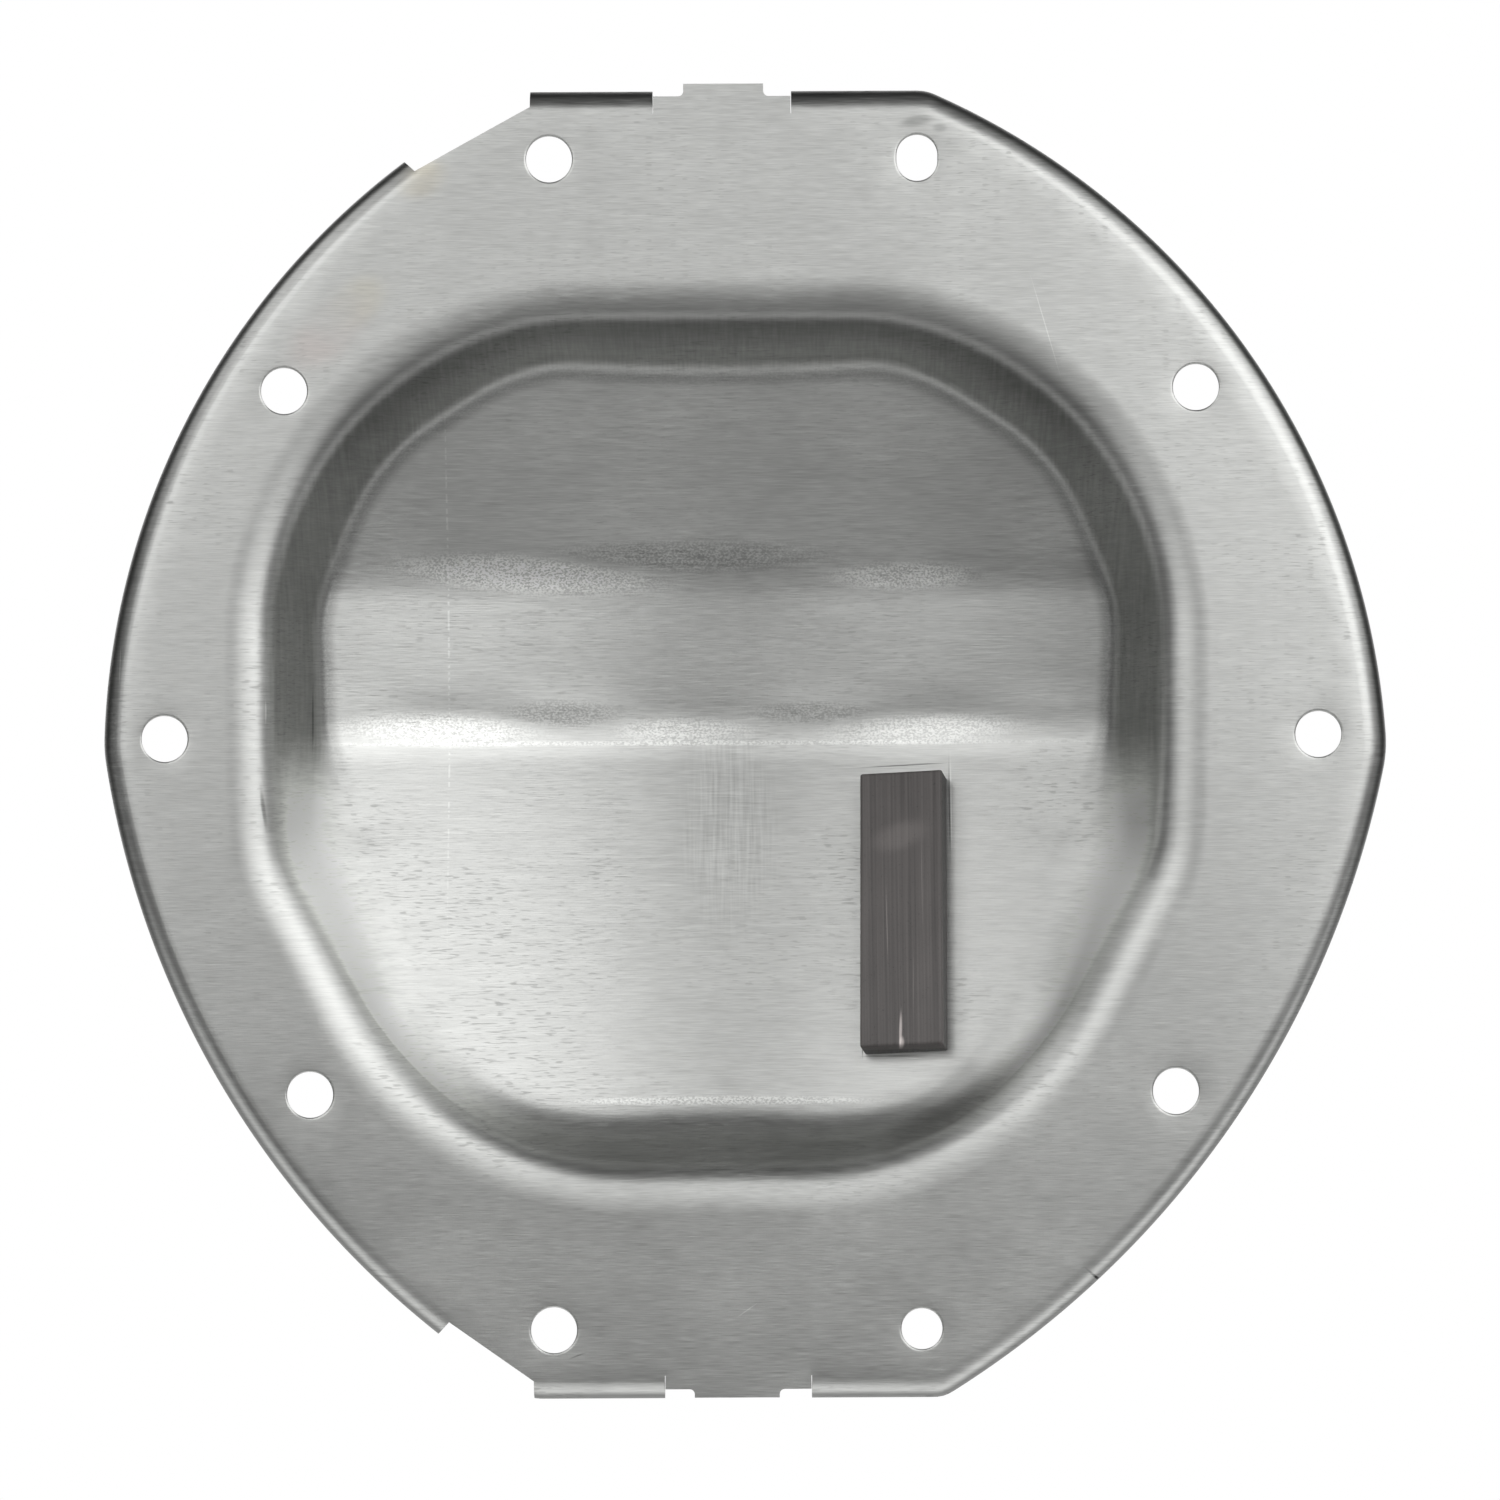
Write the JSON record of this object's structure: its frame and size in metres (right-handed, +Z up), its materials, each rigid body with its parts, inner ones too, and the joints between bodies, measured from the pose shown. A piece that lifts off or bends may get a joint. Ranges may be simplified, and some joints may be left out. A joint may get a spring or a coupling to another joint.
{
  "type": "differential cover",
  "caption": "Pressed steel axle cover with a deep offset dish, a turned-back rim, screw holes round the flange and a bar magnet seated on the dish floor.",
  "frame": {"origin": "midway between the two holes of the middle row, on the mating face", "axes": "+X across the cover, +Y from the mating face into the dish and away from the axle housing, +Z up"},
  "size_m": [0.2573, 0.0452, 0.2634],
  "materials": {
    "bare_steel": "bare cold-rolled steel, satin, with a fine grain from side to side, burnished on the creases and draw radii",
    "ferrite": "ground hard ferrite, dark warm grey, with fine grinding lines along its length"
  },
  "bodies": {
    "root": {"cover_pressing": "bare_steel", "chip_magnet": "ferrite"}
  },
  "joints": []
}
